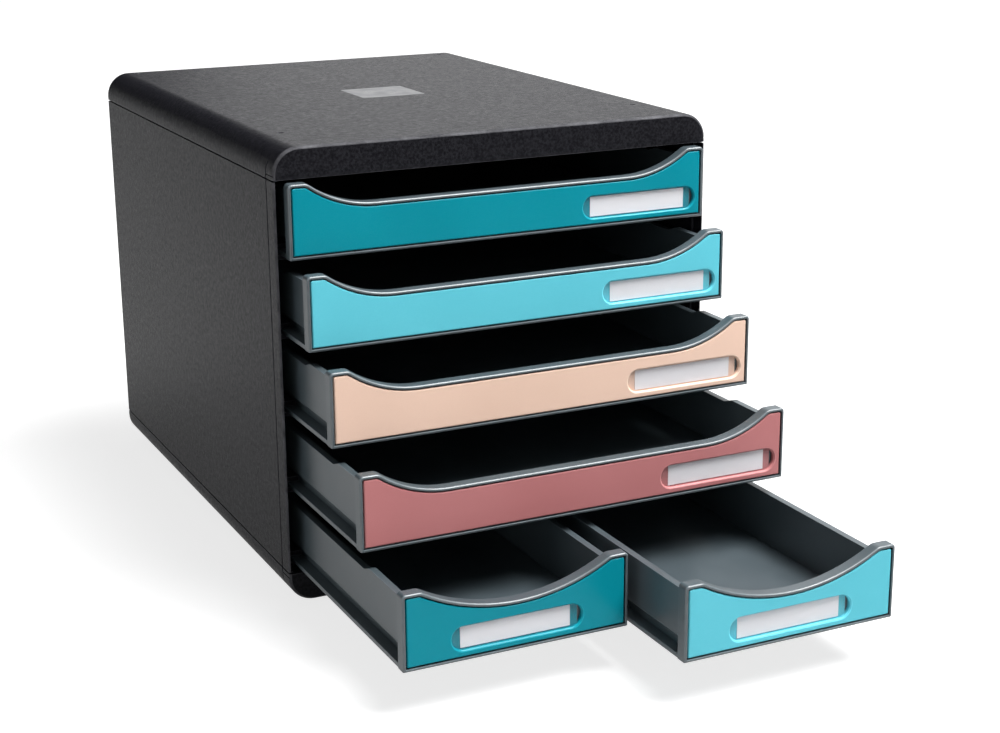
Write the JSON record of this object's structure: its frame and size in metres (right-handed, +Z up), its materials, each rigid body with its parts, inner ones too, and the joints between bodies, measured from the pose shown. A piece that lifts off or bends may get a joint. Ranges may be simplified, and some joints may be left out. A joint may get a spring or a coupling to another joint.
{
  "type": "desktop drawer organizer",
  "caption": "Desktop drawer cabinet with a rounded case, wide pull-out trays over a half-width pair, scooped coloured fronts and label windows.",
  "frame": {"origin": "on the table plane, under the middle of the whole object as it stands with its drawers open; the case's own middle is 103 mm behind it", "axes": "+X to the right as seen from the front, +Y to the back, +Z up; the drawers open towards -Y"},
  "size_m": [0.27, 0.5534, 0.2665],
  "materials": {
    "case_black": "fine leather grain, matt",
    "drawer_grey": "smooth satin moulding",
    "front_teal": "satin, pearl sheen",
    "front_turquoise": "satin, pearl sheen",
    "front_peach": "satin, pearl sheen",
    "front_rose": "satin, pearl sheen",
    "label_paper": "uncoated card",
    "clear_window": "clear, polished",
    "badge_metal": "satin",
    "foot_rubber": "matt"
  },
  "bodies": {
    "case": {"top_lid": "case_black", "base_tray": "case_black", "side_panel_left": "case_black", "side_panel_right": "case_black", "back_panel": "case_black", "centre_divider": "case_black", "badge_plate": "badge_metal", "foot_front_left": "foot_rubber", "foot_back_left": "foot_rubber", "foot_front_right": "foot_rubber", "foot_back_right": "foot_rubber"},
    "drawer_1": {"drawer_tray_1": "drawer_grey", "front_insert_1": "front_teal", "label_card_1": "label_paper", "label_window_1": "clear_window"},
    "drawer_2": {"drawer_tray_2": "drawer_grey", "front_insert_2": "front_turquoise", "label_card_2": "label_paper", "label_window_2": "clear_window"},
    "drawer_3": {"drawer_tray_3": "drawer_grey", "front_insert_3": "front_peach", "label_card_3": "label_paper", "label_window_3": "clear_window"},
    "drawer_4": {"drawer_tray_4": "drawer_grey", "front_insert_4": "front_rose", "label_card_4": "label_paper", "label_window_4": "clear_window"},
    "drawer_5": {"drawer_tray_5": "drawer_grey", "front_insert_5": "front_teal", "label_card_5": "label_paper", "label_window_5": "clear_window"},
    "drawer_6": {"drawer_tray_6": "drawer_grey", "front_insert_6": "front_turquoise", "label_card_6": "label_paper", "label_window_6": "clear_window"}
  },
  "joints": [
    {"name": "drawer_1_slide", "type": "slide", "parent": "case", "child": "drawer_1", "axis": [0, -1, 0], "range_m": [0, 0.25]},
    {"name": "drawer_2_slide", "type": "slide", "parent": "case", "child": "drawer_2", "axis": [0, -1, 0], "range_m": [-0.0246, 0.2254]},
    {"name": "drawer_3_slide", "type": "slide", "parent": "case", "child": "drawer_3", "axis": [0, -1, 0], "range_m": [-0.0544, 0.1956]},
    {"name": "drawer_4_slide", "type": "slide", "parent": "case", "child": "drawer_4", "axis": [0, -1, 0], "range_m": [-0.0927, 0.1573]},
    {"name": "drawer_5_slide", "type": "slide", "parent": "case", "child": "drawer_5", "axis": [0, -1, 0], "range_m": [-0.1455, 0.1045]},
    {"name": "drawer_6_slide", "type": "slide", "parent": "case", "child": "drawer_6", "axis": [0, -1, 0], "range_m": [-0.1985, 0.0515]}
  ]
}
